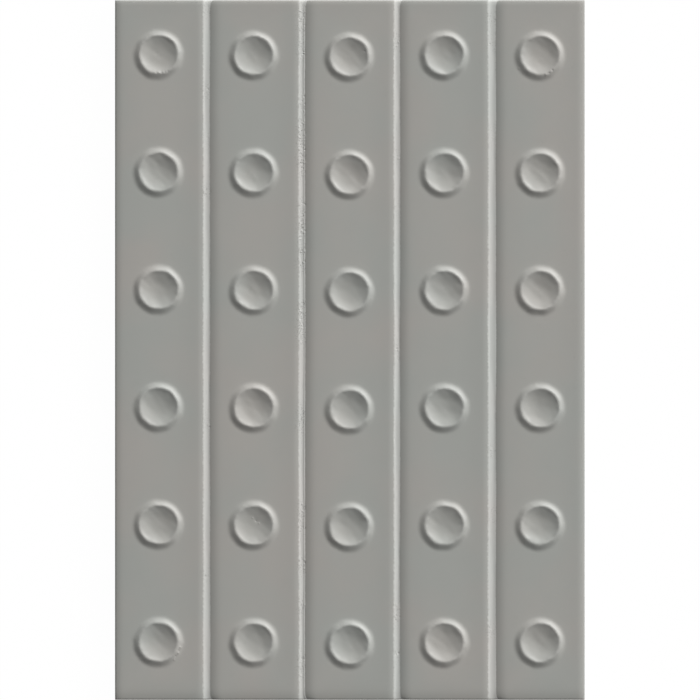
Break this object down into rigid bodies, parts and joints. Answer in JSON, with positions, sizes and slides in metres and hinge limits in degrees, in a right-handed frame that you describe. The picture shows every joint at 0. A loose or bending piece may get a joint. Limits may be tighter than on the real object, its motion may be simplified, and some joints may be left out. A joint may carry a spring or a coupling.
{
  "type": "porcelain stoneware tile",
  "caption": "Rectangular porcelain stoneware tile with cushioned strips, false joints between them and dished round studs, for bonding face out to a wall or floor.",
  "frame": {"origin": "centre of the tile on the plane of its back ribs", "axes": "+X across the strips, +Y along the strips, +Z out of the decorated face"},
  "size_m": [0.2, 0.298, 0.0097],
  "materials": {
    "stoneware": "satin matt warm grey, fired"
  },
  "bodies": {
    "root": {"tile": "stoneware"}
  },
  "joints": []
}
